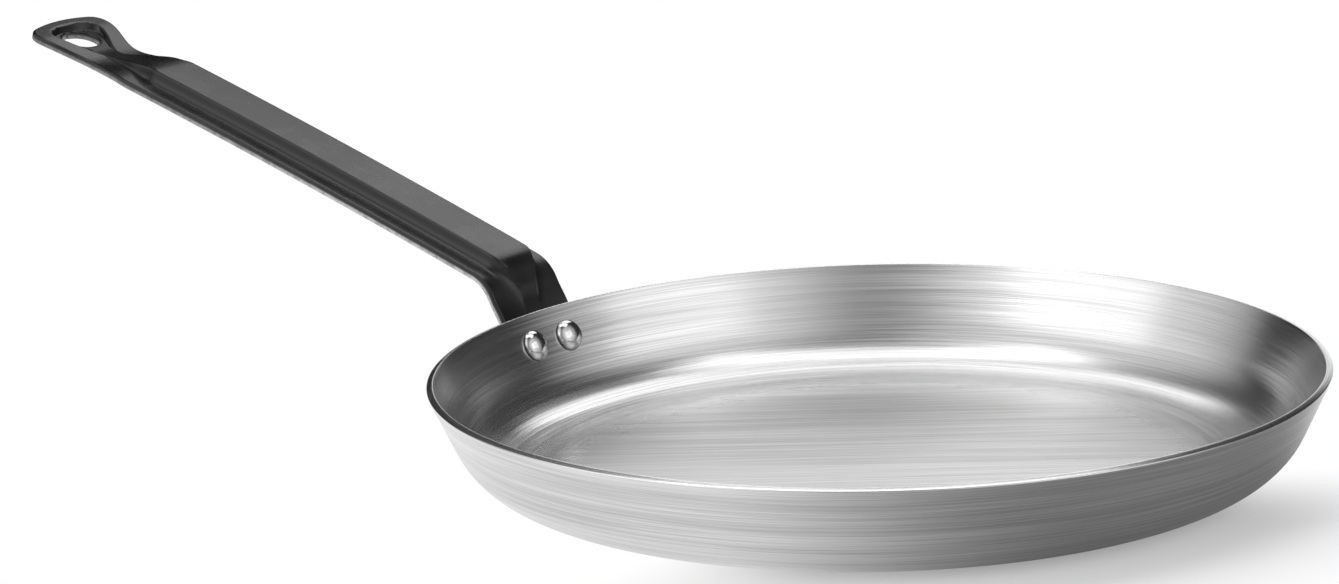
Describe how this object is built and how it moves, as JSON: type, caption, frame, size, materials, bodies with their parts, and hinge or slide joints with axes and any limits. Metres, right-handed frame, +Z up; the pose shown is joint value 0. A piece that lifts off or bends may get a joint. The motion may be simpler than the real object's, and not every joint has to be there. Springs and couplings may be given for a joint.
{
  "type": "crepe pan",
  "caption": "Shallow round steel pan with flared walls, a rounded base corner and a long rising strip handle, ribbed along its length, with a flared end and a hanging hole, riveted to the wall.",
  "frame": {"origin": "centre of the flat base, on the surface that the pan stands on", "axes": "+Z up through the pan's middle, +X along the handle, +Y to the left of the handle as seen from the pan's middle"},
  "size_m": [0.5259, 0.2996, 0.1136],
  "materials": {
    "pan_steel": "brushed round the wall and straight across the floor",
    "handle_lacquer": "satin black lacquer on pressed steel strip",
    "rivet_steel": "polished"
  },
  "bodies": {
    "root": {"pan_body": "pan_steel", "handle": "handle_lacquer", "rivet_left": "rivet_steel", "rivet_right": "rivet_steel"}
  },
  "joints": []
}
